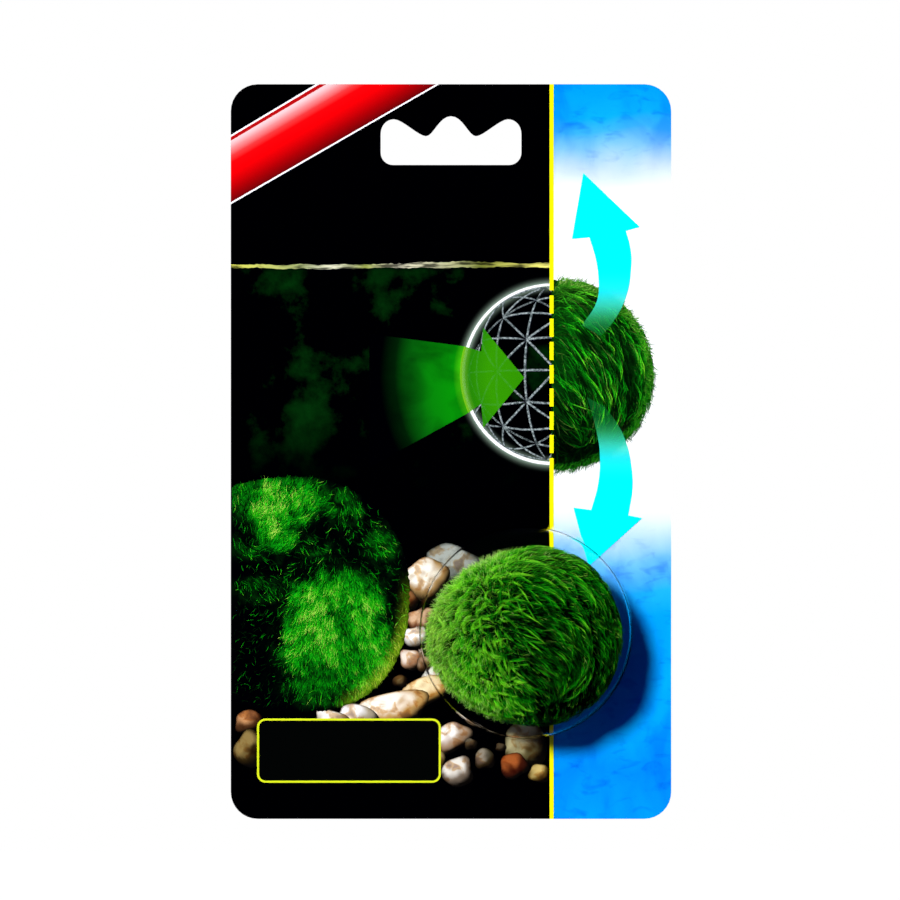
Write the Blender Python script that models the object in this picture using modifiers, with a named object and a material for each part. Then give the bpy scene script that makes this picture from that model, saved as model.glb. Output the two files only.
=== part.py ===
"""A moss ball in its retail hang pack: a printed card, a clear blister sealed to it, and the ball inside.

Metres, +Z up. The front of the card faces -Y and +X is to the right of someone who looks at it.
The origin is where the peg bears: the top of the hang hole's middle lobe, in the plane of the card's back.
"""

import math

import bpy
from mathutils import Vector

MM = 0.001

# Card
CARD_WIDTH = 114.5 * MM
CARD_HEIGHT = 191.0 * MM
CARD_THICKNESS = 0.6 * MM
CARD_CORNER_RADIUS = 7.0 * MM
CARD_TOP_ABOVE_PEG = 8.3 * MM

# Hang hole: three round lobes along the top of a slot, so that the card finds its own middle on a peg
HOLE_HALF_WIDTH = 18.3 * MM
HOLE_HEIGHT = 12.7 * MM
HOLE_CORNER_RADIUS = 3.2 * MM
MIDDLE_LOBE_REACH = 3.1 * MM
VALLEY_OFFSET = 6.5 * MM
VALLEY_DEPTH = 5.2 * MM
VALLEY_REACH = 1.9 * MM
SIDE_LOBE_OFFSET = 14.8 * MM
SIDE_LOBE_DROP = 0.8 * MM
SIDE_LOBE_REACH = 2.1 * MM
SIDE_LOBE_HEIGHT = 3.9 * MM

# Ball of moss, measured to the tips of its fibres
BALL_WIDTH = 51.8 * MM
BALL_HEIGHT = 46.8 * MM
BALL_DEPTH = 47.0 * MM
BALL_RIGHT_OF_PEG = 18.9 * MM
BALL_ABOVE_CARD_BOTTOM = 48.0 * MM
# Subdivision draws a surface in from its cage, so the cage is made this much larger
CAGE_SWELL = 1.018
# Where the growth swells from its thinnest: the turn in degrees anticlockwise from the right, as seen from the
# front, the lean in degrees to the front, the swelling as a share of the radius, and the degrees over which it fades
THIN_GROWTH = 0.95
SWELLINGS = {
    "upper right shoulder": (58, 0, 0.10, 30),
    "lower right shoulder": (-55, 0, 0.105, 33),
    "right tuft": (-1, 0, 0.05, 9),
    "left nose": (176, 0, 0.05, 22),
    "lower left cheek": (-152, 0, 0.025, 40),
    "front": (0, 90, 0.05, 45),
    "back": (0, -90, 0.05, 45),
}

# Blister. Its middle lies up and right of the ball's, which rests on its lower wall
BLISTER_WALL = 0.4 * MM
BLISTER_FOOT_RADIUS = 28.3 * MM
BLISTER_SHOULDER_RADIUS = 27.4 * MM
BLISTER_SHOULDER_HEIGHT = 23.5 * MM
BLISTER_ROOM_OVER_BALL = 0.9 * MM
BLISTER_RIGHT_OF_BALL = 0.3 * MM
BLISTER_ABOVE_BALL = 0.9 * MM
FLANGE_RADIUS = 34.0 * MM
FOOT_FILLET = 1.0 * MM
BLISTER_STEPS = 56
CROWN_POINTS = 11
FILLET_POINTS = 4

# Pieces that lie against each other
TOUCHING_GAP = 0.3 * MM

# The share of a radius that a Bezier handle takes to draw a quarter circle
QUARTER_ARC = 0.5523

CARD_FRONT = -CARD_THICKNESS
CARD_BOTTOM = CARD_TOP_ABOVE_PEG - CARD_HEIGHT
BALL_CENTRE = Vector((
    BALL_RIGHT_OF_PEG,
    CARD_FRONT - TOUCHING_GAP - BALL_DEPTH / 2,
    CARD_BOTTOM + BALL_ABOVE_CARD_BOTTOM,
))


def clear_scene():
    for old in list(bpy.data.objects):
        bpy.data.objects.remove(old, do_unlink=True)


def make_collection(name):
    made = bpy.data.collections.new(name)
    bpy.context.scene.collection.children.link(made)
    return made


def make_material(name, colour, roughness, transmission=0.0, ior=1.5):
    material = bpy.data.materials.new(name)
    material.use_nodes = True
    shader = material.node_tree.nodes["Principled BSDF"]
    shader.inputs["Base Color"].default_value = (*colour, 1.0)
    shader.inputs["Roughness"].default_value = roughness
    shader.inputs["Metallic"].default_value = 0.0
    shader.inputs["Transmission Weight"].default_value = transmission
    shader.inputs["IOR"].default_value = ior
    return material


def add_closed_bezier(curve, points):
    """One closed spline through points, each with its place and its two handles: the way on, and the way back."""
    spline = curve.splines.new("BEZIER")
    spline.bezier_points.add(len(points) - 1)
    spline.use_cyclic_u = True
    for at, (x, z, on_x, on_z, back_x, back_z) in zip(spline.bezier_points, points):
        at.handle_left_type = at.handle_right_type = "FREE"
        at.co = (x, z, 0.0)
        at.handle_right = (x + on_x, z + on_z, 0.0)
        at.handle_left = (x + back_x, z + back_z, 0.0)


def rounded_rectangle(half_width, top, bottom, radius):
    """Bezier points anticlockwise from the right side's foot. A handle is nothing along a straight side."""
    reach = QUARTER_ARC * radius
    return [
        (half_width, bottom + radius, 0, 0, 0, -reach),
        (half_width, top - radius, 0, reach, 0, 0),
        (half_width - radius, top, 0, 0, reach, 0),
        (radius - half_width, top, -reach, 0, 0, 0),
        (-half_width, top - radius, 0, 0, 0, reach),
        (-half_width, bottom + radius, 0, -reach, 0, 0),
        (radius - half_width, bottom, 0, 0, -reach, 0),
        (half_width - radius, bottom, reach, 0, 0, 0),
    ]


def hang_hole():
    """Bezier points from the middle lobe's top, clockwise down the right side and back up the left."""
    lobe_side = SIDE_LOBE_HEIGHT + SIDE_LOBE_DROP
    corner_x = HOLE_HALF_WIDTH - HOLE_CORNER_RADIUS
    corner_z = HOLE_CORNER_RADIUS - HOLE_HEIGHT
    corner_reach = QUARTER_ARC * HOLE_CORNER_RADIUS
    side_reach = QUARTER_ARC * SIDE_LOBE_HEIGHT
    right = [
        (VALLEY_OFFSET, -VALLEY_DEPTH, VALLEY_REACH, 0, -VALLEY_REACH, 0),
        (SIDE_LOBE_OFFSET, -SIDE_LOBE_DROP, SIDE_LOBE_REACH, 0, -SIDE_LOBE_REACH, 0),
        (HOLE_HALF_WIDTH, -lobe_side, 0, 0, 0, side_reach),
        (HOLE_HALF_WIDTH, corner_z, 0, -corner_reach, 0, 0),
        (corner_x, -HOLE_HEIGHT, 0, 0, corner_reach, 0),
    ]
    left = [(-x, z, -back_x, back_z, -on_x, on_z) for x, z, on_x, on_z, back_x, back_z in reversed(right)]
    return [(0, 0, MIDDLE_LOBE_REACH, 0, -MIDDLE_LOBE_REACH, 0), *right, *left]


def make_card(collection, material):
    """Die-cut board: a flat outline with its hang hole, as thick as the board."""
    outline = bpy.data.curves.new("card", "CURVE")
    outline.dimensions = "2D"
    outline.fill_mode = "BOTH"
    outline.extrude = CARD_THICKNESS / 2
    outline.resolution_u = 8
    add_closed_bezier(
        outline,
        rounded_rectangle(CARD_WIDTH / 2, CARD_TOP_ABOVE_PEG, CARD_BOTTOM, CARD_CORNER_RADIUS),
    )
    add_closed_bezier(outline, hang_hole())
    card = bpy.data.objects.new("card", outline)
    card.data.materials.append(material)
    card.location.y = CARD_FRONT + CARD_THICKNESS / 2
    card.rotation_euler.x = math.pi / 2
    collection.objects.link(card)
    return card


def blister_profile():
    """Outer side of the blister as (radius, height over the card), from the crown's top down to the flange's edge."""
    height = TOUCHING_GAP + BALL_DEPTH + BLISTER_ROOM_OVER_BALL + BLISTER_WALL
    crown = height - BLISTER_SHOULDER_HEIGHT
    points = []
    for i in range(CROWN_POINTS + 1):
        turn = math.pi / 2 * i / CROWN_POINTS
        points.append((
            BLISTER_SHOULDER_RADIUS * math.sin(turn),
            BLISTER_SHOULDER_HEIGHT + crown * math.cos(turn),
        ))
    flange_top = TOUCHING_GAP + BLISTER_WALL
    for i in range(FILLET_POINTS + 1):
        turn = math.pi / 2 * i / FILLET_POINTS
        points.append((
            BLISTER_FOOT_RADIUS + FOOT_FILLET * (1 - math.cos(turn)),
            flange_top + FOOT_FILLET * (1 - math.sin(turn)),
        ))
    points.append((FLANGE_RADIUS, flange_top))
    return points


def make_blister(collection, material):
    """Clear sheet drawn over a mould: one turned surface, thickened inwards. Its open back lies on the card."""
    profile = blister_profile()
    mesh = bpy.data.meshes.new("blister")
    mesh.from_pydata(
        [(radius, 0.0, height) for radius, height in profile],
        [(i, i + 1) for i in range(len(profile) - 1)],
        [],
    )
    blister = bpy.data.objects.new("blister", mesh)
    blister.data.materials.append(material)
    blister.location = (
        BALL_CENTRE.x + BLISTER_RIGHT_OF_BALL,
        CARD_FRONT,
        BALL_CENTRE.z + BLISTER_ABOVE_BALL,
    )
    blister.rotation_euler.x = math.pi / 2
    collection.objects.link(blister)

    turn = blister.modifiers.new("turn", "SCREW")
    turn.axis = "Z"
    turn.angle = 2 * math.pi
    turn.steps = turn.render_steps = BLISTER_STEPS
    turn.use_merge_vertices = True
    turn.merge_threshold = 0.00001
    turn.use_smooth_shade = True

    wall = blister.modifiers.new("wall", "SOLIDIFY")
    wall.thickness = BLISTER_WALL
    wall.offset = -1.0
    wall.use_even_offset = True
    return blister


def growth(direction):
    """How far out the moss reaches that way, as a share of the even ball's radius."""
    share = THIN_GROWTH
    for turn, lean, swelling, fade in SWELLINGS.values():
        across = math.cos(math.radians(lean))
        way = Vector((
            across * math.cos(math.radians(turn)),
            -math.sin(math.radians(lean)),
            across * math.sin(math.radians(turn)),
        ))
        share += swelling * math.exp(-((math.degrees(direction.angle(way)) / fade) ** 2))
    return share


def make_moss_ball(collection, material):
    """One growth of moss, a little wider than high: a lumpy cage that Subdivision Surface rounds."""
    bpy.ops.mesh.primitive_ico_sphere_add(subdivisions=3, radius=CAGE_SWELL)
    ball = bpy.context.object
    ball.name = ball.data.name = "moss_ball"
    half = Vector((BALL_WIDTH, BALL_DEPTH, BALL_HEIGHT)) / 2
    for vertex in ball.data.vertices:
        vertex.co = vertex.co * growth(vertex.co) * half
    ball.location = BALL_CENTRE
    ball.data.materials.append(material)
    ball.data.shade_smooth()
    for old in ball.users_collection:
        old.objects.unlink(ball)
    collection.objects.link(ball)

    smooth = ball.modifiers.new("smooth", "SUBSURF")
    smooth.levels = smooth.render_levels = 1
    return ball


clear_scene()
pack = make_collection("moss_ball_hang_pack")
make_card(pack, make_material("coated_board", (0.004, 0.006, 0.004), 0.35))
make_blister(pack, make_material("clear_sheet", (1.0, 1.0, 1.0), 0.03, transmission=1.0, ior=1.57))
make_moss_ball(pack, make_material("moss", (0.03, 0.12, 0.006), 0.8))
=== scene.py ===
import math

import bmesh
import bpy
import numpy as np
from mathutils import Matrix, Vector
from mathutils.bvhtree import BVHTree


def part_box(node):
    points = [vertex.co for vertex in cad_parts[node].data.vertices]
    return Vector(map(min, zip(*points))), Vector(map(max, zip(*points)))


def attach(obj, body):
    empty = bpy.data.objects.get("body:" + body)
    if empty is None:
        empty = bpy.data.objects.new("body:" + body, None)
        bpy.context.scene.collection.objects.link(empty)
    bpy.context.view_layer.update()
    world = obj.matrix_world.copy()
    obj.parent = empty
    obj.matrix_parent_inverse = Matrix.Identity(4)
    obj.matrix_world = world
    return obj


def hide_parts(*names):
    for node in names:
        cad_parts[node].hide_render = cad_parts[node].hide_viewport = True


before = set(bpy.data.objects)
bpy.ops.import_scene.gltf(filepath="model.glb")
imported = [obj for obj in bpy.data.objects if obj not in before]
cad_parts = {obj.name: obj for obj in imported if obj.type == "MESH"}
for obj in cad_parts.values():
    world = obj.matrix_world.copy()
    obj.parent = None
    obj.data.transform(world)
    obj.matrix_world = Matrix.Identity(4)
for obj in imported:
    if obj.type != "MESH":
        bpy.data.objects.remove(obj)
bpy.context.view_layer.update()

# ---------------------------------------------------------------------------------------------
# Moss ball. A ball of filamentous green algae, which grew round as the water turned it over. Its
# fibres are combed down to the right and round under it, and stand up as short fuzz on the left, painted
# bright.
# ---------------------------------------------------------------------------------------------
MM = 0.001

moss_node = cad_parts["moss_ball"]
moss_low, moss_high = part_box("moss_ball")
moss_centre = np.array((moss_low + moss_high) / 2)

LOCKS = 3100
FIBRES_IN_LOCK = 14
ROOT_DEPTH = 3.0 * MM
FIBRE_RADIUS = 0.072 * MM
CARD_SIDE = 0.75

# Partings, where the fibres sink apart and painted shade shows. Each runs from a place to a place, across
# and up, and then comes its width, all as shares of half the ball.
PARTINGS = (
    (0.60, 0.55, 0.72, 0.30, 0.032), (0.74, 0.24, 0.82, -0.14, 0.036), (0.82, -0.14, 0.76, -0.50, 0.036),
    (0.76, -0.50, 0.60, -0.75, 0.045), (0.60, -0.75, 0.20, -0.86, 0.070), (-0.14, 0.20, 0.08, 0.14, 0.040),
    (0.36, 0.44, 0.48, 0.24, 0.024), (0.26, 0.00, 0.40, -0.16, 0.034), (-0.66, 0.34, -0.58, 0.20, 0.034),
    (-0.63, 0.02, -0.60, -0.12, 0.026), (-0.44, -0.36, -0.37, -0.56, 0.030),
    (-0.34, 0.00, -0.12, -0.08, 0.030), (-0.26, -0.18, 0.06, -0.26, 0.034),
    (-0.06, -0.36, 0.20, -0.42, 0.034), (-0.18, -0.62, 0.06, -0.70, 0.036),
    (-0.78, -0.22, -0.72, -0.38, 0.022), (-0.40, 0.56, -0.30, 0.46, 0.024), (0.04, 0.34, 0.18, 0.26, 0.024),
)


def hex_colour(code):
    """An sRGB hex code such as #78BE28, as the linear colour that Blender's sockets hold."""
    parts = [int(code[i : i + 2], 16) / 255 for i in (1, 3, 5)]
    return (*[c / 12.92 if c <= 0.04045 else ((c + 0.055) / 1.055) ** 2.4 for c in parts], 1.0)


def add_node(tree, kind, inputs=None, ramp=None, **settings):
    """Adds one node. An input takes a value, a node or its output. A ramp takes (place, hex) stops."""
    node = tree.nodes.new("ShaderNode" + kind)
    for name, value in settings.items():
        setattr(node, name, value)
    for name, value in (inputs or {}).items():
        if isinstance(value, bpy.types.Node):
            value = value.outputs[0]
        if isinstance(value, bpy.types.NodeSocket):
            tree.links.new(value, node.inputs[name])
        else:
            node.inputs[name].default_value = value
    for i, (place, code) in enumerate(ramp or []):
        stops = node.color_ramp.elements
        stop = stops[i] if i < 2 else stops.new(place)
        stop.position = place
        stop.color = hex_colour(code)
    return node


def start_material(name, code=None, **finish):
    """A new material with its shader's own values set. Returns it, its tree and the shader."""
    material = bpy.data.materials.new(name)
    material.use_nodes = True
    shader = material.node_tree.nodes["Principled BSDF"]
    if code:
        shader.inputs["Base Color"].default_value = hex_colour(code)
    for socket, value in finish.items():
        shader.inputs[socket.replace("_", " ")].default_value = value
    return material, material.node_tree, shader


def feed(shader, socket, source):
    """Links a node's first output, or one chosen output, to a socket of the shader."""
    source = source.outputs[0] if isinstance(source, bpy.types.Node) else source
    shader.id_data.links.new(source, shader.inputs[socket])


def add_piece(name, data):
    """A new object in the scene, with this mesh, curve, lamp or camera."""
    piece = bpy.data.objects.new(name, data)
    bpy.context.scene.collection.objects.link(piece)
    return piece


def select_only(piece):
    """Deselects everything, then selects this piece and makes it active."""
    if bpy.context.mode != "OBJECT":
        bpy.ops.object.mode_set(mode="OBJECT")
    bpy.ops.object.select_all(action="DESELECT")
    piece.select_set(True)
    bpy.context.view_layer.objects.active = piece


def edit_all(piece):
    """Opens this piece in edit mode with all of it selected."""
    select_only(piece)
    bpy.ops.object.mode_set(mode="EDIT")
    bpy.ops.mesh.select_all(action="SELECT")


def unit(vectors):
    """The same directions, each of length 1."""
    return vectors / np.linalg.norm(vectors, axis=-1, keepdims=True)


def smoothstep(low, high, value):
    """Eases from 0 at low to 1 at high, either of which may be the larger."""
    share = np.clip((value - low) / (high - low), 0.0, 1.0)
    return share * share * (3 - 2 * share)


def measured_reach(node, centre, rings=90, turns=180):
    """How far a solid reaches from its centre every way, as a function that takes unit vectors."""
    tree = BVHTree.FromPolygons([v.co for v in node.data.vertices], [p.vertices for p in node.data.polygons])
    far = np.zeros((rings + 1, turns + 1))
    for i in range(rings + 1):
        tilt = math.pi * i / rings
        for j in range(turns + 1):
            turn = 2 * math.pi * j / turns
            way = Vector((math.sin(tilt) * math.cos(turn), -math.cos(tilt), math.sin(tilt) * math.sin(turn)))
            far[i, j] = tree.ray_cast(Vector(centre), way)[3]

    def reach(ways):
        tilt = np.arccos(np.clip(-ways[..., 1], -1, 1)) / math.pi * rings
        turn = np.mod(np.arctan2(ways[..., 2], ways[..., 0]), 2 * math.pi) / (2 * math.pi) * turns
        i = np.clip(tilt.astype(int), 0, rings - 1)
        j = np.clip(turn.astype(int), 0, turns - 1)
        a, b = tilt - i, turn - j
        upper = far[i, j] * (1 - b) + far[i, j + 1] * b
        lower = far[i + 1, j] * (1 - b) + far[i + 1, j + 1] * b
        return upper * (1 - a) + lower * a

    return reach


def hills(rng, spacing, count=30):
    """A smooth random height over space, about -1 to 1, whose hills lie this far apart."""
    waves = unit(rng.normal(0, 1, (count, 3))) * rng.uniform(0.6, 1.4, (count, 1)) * 2 * math.pi / spacing
    phases = rng.uniform(0, 2 * math.pi, count)
    return lambda places: np.cos(places @ waves.T + phases).sum(-1) / math.sqrt(count)


def parted(ways):
    """How far each place lies in a parting, from 0 to 1, on the ball's front."""
    spot = ways[..., (0, 2)]
    deep = np.zeros(ways.shape[:-1])
    for x0, z0, x1, z1, width in PARTINGS:
        start, run = np.array((x0, z0)), np.array((x1 - x0, z1 - z0))
        share = np.clip(((spot - start) @ run) / (run @ run), 0, 1)
        gap = np.linalg.norm(spot - start - share[..., None] * run, axis=-1)
        deep = np.maximum(deep, smoothstep(width * 1.6, width * 0.4, gap))
    return deep * (ways[..., 1] < 0)


def comb(ways, stray):
    """Which way the fibres lie at each place, strayed by an angle, and the way across them."""
    across, up = ways[..., 0], ways[..., 2]
    turn = -27 - 54 * smoothstep(0.10, 0.95, across)
    turn = turn - 14 * smoothstep(0.2, 0.7, up) * smoothstep(0.6, 0.0, across)
    turn = turn - 105 * smoothstep(-0.15, -0.80, up) * smoothstep(0.10, 0.60, across)
    turn = turn - 55 * smoothstep(-0.60, -0.95, up) * smoothstep(0.3, 0.0, across)
    turn = turn - 58 * smoothstep(-0.30, -0.75, across) * smoothstep(0.75, 0.1, np.abs(up))
    turn = np.radians(turn + stray)
    flow = np.stack((np.cos(turn), np.zeros_like(turn), np.sin(turn)), -1)
    flow = unit(flow - ways * (flow * ways).sum(-1, keepdims=True))
    return flow, np.cross(flow, ways)


BALL_RADIUS = 25 * MM


def grow_locks(rng, count, each, reach, lay=comb, points=4):
    """Fibres in tapered locks. Returns their points, which lock each is in, and the locks' values."""
    index = np.arange(count) + 0.5
    tilt = np.arccos(1 - 2 * index / count)
    turn = index * math.pi * (1 + math.sqrt(5))
    ways = np.stack((np.cos(turn) * np.sin(tilt), np.cos(tilt), np.sin(turn) * np.sin(tilt)), 1)
    ways = unit(ways + rng.normal(0, 0.022, (count, 3)))
    ways = ways[(ways[:, 1] < 0.45) | ((ways[:, 1] < 0.85) & (rng.random(count) < 0.5))]
    count = len(ways)

    ragged = hills(rng, 9 * MM)(ways * BALL_RADIUS)
    left = smoothstep(0.02, -0.42, ways[:, 0] + 0.09 * ragged)
    length = (8.0 - 3.4 * left) * MM * rng.uniform(0.65, 1.35, count)
    swerve = hills(rng, 8 * MM)(ways * BALL_RADIUS)
    restless = np.exp(-(((ways[:, 0] + 0.12) / 0.22) ** 2) - ((ways[:, 2] - 0.02) / 0.34) ** 2)
    restless = restless * (ways[:, 1] < 0)
    stray = (13 + 14 * left) * swerve + rng.normal(0, 1, count) * (10 + 20 * left + 16 * restless)
    top = (1.7 - 0.5 * left) * MM * rng.random(count) ** 1.3
    lie = 1 - 0.75 * left

    share = np.linspace(0, 1, points)
    guide = np.zeros((count, points, 3))
    flows, sides = np.zeros_like(guide), np.zeros_like(guide)
    here = ways
    for k in range(points):
        flow, side = lay(here, stray)
        guide[:, k], flows[:, k], sides[:, k] = here, flow, side
        here = unit(here + flow * (length / (points - 1) / reach(here))[:, None])

    lock = np.repeat(np.arange(count), each)
    total = len(lock)
    along = rng.normal(0, 1, total) * (1.2 - 0.5 * left[lock]) * MM
    across = rng.normal(0, 1, total) * (0.17 + 0.13 * left[lock]) * MM
    wave = rng.uniform(0, 2 * math.pi, total)
    narrowed = 1 - (0.6 + 0.1 * left[lock])[:, None] * share
    sway = 0.16 * MM * np.sin(wave[:, None] + share * 5.0) * share
    sideways = (across[:, None] * narrowed + sway)[..., None]
    offset = flows[lock] * along[:, None, None] + sides[lock] * sideways
    away = unit(guide[lock] + offset / reach(guide[lock])[..., None])
    bent = (1 - share) ** (1 + 2 * lie[lock])[:, None]
    clumps = hills(rng, 3.6 * MM)(away * BALL_RADIUS)
    sunk = 1.45 * MM * smoothstep(0.15, 1.1, clumps) + 1.4 * MM * parted(away)
    loose = np.abs(rng.normal(0, 0.22, total)) * MM
    depth = (top[lock] - 0.25 * MM + loose)[:, None] + ROOT_DEPTH * bent + sunk
    places = away * (reach(away) - depth)[..., None]
    return places, lock, {"left": left, "top": top, "ways": ways, "away": away, "sunk": sunk}


def tubes(places, radii):
    """Closed three-sided fibres round lines of points, each ending in a point."""
    total, points, _ = places.shape
    along = unit(np.gradient(places, axis=1))
    outward = unit(places)
    side = unit(np.cross(along, outward))
    up = np.cross(side, along)
    rings = []
    for turn in (math.pi / 2, math.pi * 7 / 6, math.pi * 11 / 6):
        rings.append(places + (side * math.cos(turn) + up * math.sin(turn)) * radii[..., None])
    body = np.stack([ring[:, :-1] for ring in rings], 2).reshape(total, -1, 3)
    vertices = np.concatenate((body, places[:, -1:]), 1)
    faces = [(0, 2, 1)]
    for k in range(points - 2):
        for i in range(3):
            a, b = 3 * k + i, 3 * k + (i + 1) % 3
            faces += [(a, b, b + 3), (a, b + 3, a + 3)]
    last, tip = 3 * (points - 2), 3 * (points - 1)
    faces += [(last + i, last + (i + 1) % 3, tip) for i in range(3)]
    each = vertices.shape[1]
    triangles = (np.arange(total) * each)[:, None, None] + np.array(faces)
    return vertices.reshape(-1, 3), triangles.reshape(-1, 3)


def at_vertices(pigments):
    """The fibres' colours, point by point, as one colour for each vertex of their tubes."""
    body = np.repeat(pigments[:, :-1], 3, axis=1)
    return np.concatenate((body, pigments[:, -1:]), 1).reshape(-1, 4)


def joined_mesh(name, vertices, triangles, colours, material):
    """One object out of many small shapes, with a colour at each vertex."""
    mesh = bpy.data.meshes.new(name)
    mesh.vertices.add(len(vertices))
    mesh.vertices.foreach_set("co", vertices.astype(np.float32).ravel())
    mesh.loops.add(3 * len(triangles))
    mesh.loops.foreach_set("vertex_index", triangles.astype(np.int32).ravel())
    mesh.polygons.add(len(triangles))
    mesh.polygons.foreach_set("loop_start", np.arange(0, 3 * len(triangles), 3, dtype=np.int32))
    mesh.update(calc_edges=True)
    mesh.validate()
    shades = mesh.color_attributes.new("pigment", "FLOAT_COLOR", "POINT")
    shades.data.foreach_set("color", colours.astype(np.float32).ravel())
    mesh.shade_smooth()
    mesh.materials.append(material)
    return add_piece(name, mesh)


def blend_colours(shares, codes):
    """Mixes from one hex colour to the next as the shares go from 0 to 1."""
    stops = np.array([hex_colour(code) for code in codes])
    place = np.clip(shares, 0, 1) * (len(codes) - 1)
    low = np.clip(place.astype(int), 0, len(codes) - 2)
    part = (place - low)[..., None]
    return stops[low] * (1 - part) + stops[low + 1] * part


def moss_pigment(rng, lock, values, points):
    """Green at each point of each fibre, with painted light and shade: lighter on the left and along the top
    rim, darker low down, on deeper fibres and towards the roots.
    """
    away = values["away"]
    left, top = values["left"][lock][:, None], values["top"][lock][:, None] / MM
    rim = smoothstep(0.62, 0.97, away[..., 2]) * (1 - left)
    shade = smoothstep(-0.25, -0.85, away[..., 2]) * (1 - left)
    uneven = rng.normal(0, 1, len(values["top"])) * (0.24 + 0.12 * values["left"])
    tone = uneven[lock] + rng.normal(0, 0.22, len(lock))
    # Painted light: lighter on the left and along the top rim. Painted shade: darker low down.
    bright = 0.63 + 0.60 * left + 0.16 * rim - 0.12 * shade + tone[:, None]
    # Painted shade on the deeper locks and where fibres sink into clumps and partings.
    bright = bright - (0.40 - 0.14 * left) * top - 0.40 * values["sunk"] / MM
    # Painted shade towards each fibre's root, deep in the ball.
    shares = bright * np.linspace(0.25, 1.12, points)
    pigment = blend_colours(shares, ("#000200", "#032003", "#065A05", "#0A980A", "#26CA0E", "#86E628"))
    # Painted highlight: a yellow-green mixed in on the far left and along the top rim.
    painted_highlight_share = np.maximum(0.6 * smoothstep(-0.66, -1.0, away[..., 0]), 0.2 * rim)[..., None]
    yellow = np.array(hex_colour("#B4E054")) * np.clip(shares, 0, 1)[..., None] ** 1.5
    pigment = pigment * (1 - painted_highlight_share) + yellow * painted_highlight_share
    # A few fibres at random are paler, and they also stand in for painted glints.
    pale_glint_fibres = (rng.random(len(lock)) < 0.04)[:, None, None]
    pale = np.array(hex_colour("#B4C862")) * np.clip(shares, 0, 1)[..., None]
    return np.where(pale_glint_fibres, pigment * 0.5 + pale * 0.5, pigment)


def mottle_pigment(tree, shader, size, detail, thin, thick, weakest, strongest):
    """Carries the mesh's own colours to the shader, broken by a mottle of this size."""
    pigment = add_node(tree, "Attribute", attribute_name="pigment")
    spot = add_node(tree, "TexCoord").outputs["Object"]
    mottle = add_node(tree, "TexNoise", {"Vector": spot, "Scale": 1 / size, "Detail": detail})
    strength = add_node(tree, "MapRange", {"Value": mottle, 1: thin, 2: thick, 3: weakest, 4: strongest})
    colour = add_node(tree, "VectorMath", {0: pigment, "Scale": strength}, operation="SCALE")
    feed(shader, "Base Color", colour)


# Algal filaments, wet and cellulose-walled: matt, with a faint gloss. The green is carried point by point
# along each fibre, and a fine mottle breaks it every 0.3 mm.
moss_fibre, tree, shader = start_material("algal_filaments_combed", Roughness=0.6, Specular_IOR_Level=0.12)
mottle_pigment(tree, shader, 0.3 * MM, 2.0, 0.3, 0.7, 0.7, 1.25)

rng = np.random.default_rng(7)
moss_reach = measured_reach(moss_node, moss_centre)
places, lock, values = grow_locks(rng, LOCKS, FIBRES_IN_LOCK, moss_reach)
points = places.shape[1]
pigments = moss_pigment(rng, lock, values, points)
thickness = FIBRE_RADIUS * rng.uniform(0.7, 1.2, len(lock))[:, None] * np.linspace(1.0, 0.45, points)

round_the_ball = np.arctan2(values["ways"][:, 2], values["ways"][:, 0]) / (2 * math.pi) + 0.5
sector = np.floor(round_the_ball * 4).astype(int)
for number, name in enumerate(("lower_left", "lower_right", "upper_right", "upper_left")):
    chosen = np.clip(sector, 0, 3)[lock] == number
    vertices, triangles = tubes(places[chosen], thickness[chosen])
    shades = at_vertices(pigments[chosen])
    piece = joined_mesh(f"moss_fibres_{name}", vertices + moss_centre, triangles, shades, moss_fibre)
    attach(piece, "root")

# Fuzz. The finest filament ends, which stand clear of the locks all round, with painted light on the left,
# along the top rim and at the left edge. None stands far enough out to touch the blister.
FUZZ_TRIES = 21000
FUZZ_LENGTH = 2.4 * MM
FUZZ_RADIUS = 0.042 * MM
FUZZ_POINTS = 4
FUZZ_PROUD_MOST = 0.85
ways = unit(rng.normal(0, 1, (FUZZ_TRIES, 3)))
left = smoothstep(0.25, -0.5, ways[:, 0])
ways = ways[(ways[:, 1] < CARD_SIDE) & (rng.random(len(ways)) < 0.24 + 0.36 * left)]
left = smoothstep(0.1, -0.5, ways[:, 0])
flow, _ = comb(ways, rng.normal(0, 1, len(ways)) * (18 + 50 * left))
share = np.linspace(0, 1, FUZZ_POINTS)
lean = rng.uniform(0.3, 1.0, len(ways)) * FUZZ_LENGTH * (1.0 - 0.5 * left)
away = unit(ways[:, None] + flow[:, None] * (lean[:, None] * share / moss_reach(ways)[:, None])[..., None])
proud = rng.uniform(-0.5, 0.4, len(ways)) + (0.5 + 0.6 * left) * rng.random(len(ways)) ** 2.5
proud = np.minimum(proud, FUZZ_PROUD_MOST)
depth = -proud[:, None] * MM + 1.9 * MM * (1 - share) ** 1.3 + 1.2 * MM * parted(away)
places = away * (moss_reach(away) - depth)[..., None]
thickness = np.full(places.shape[:2], FUZZ_RADIUS) * np.linspace(1, 0.5, FUZZ_POINTS)
vertices, triangles = tubes(places, thickness)
# Painted light: the fuzz is brighter along the top rim, on the left and at the left edge.
rim = smoothstep(0.6, 0.97, ways[:, 2])
outline = smoothstep(0.45, 0.1, np.abs(ways[:, 1])) * left
tone = 0.38 + 0.38 * left + 0.20 * rim + 0.16 * outline + rng.normal(0, 0.24, len(ways))
shares = tone[:, None] * np.linspace(0.6, 1.1, FUZZ_POINTS)
pigments = blend_colours(shares, ("#053A05", "#0A9206", "#2CCC0C", "#9CE838", "#CCF488"))
fuzz = joined_mesh("moss_fuzz", vertices + moss_centre, triangles, at_vertices(pigments), moss_fibre)
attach(fuzz, "root")
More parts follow.
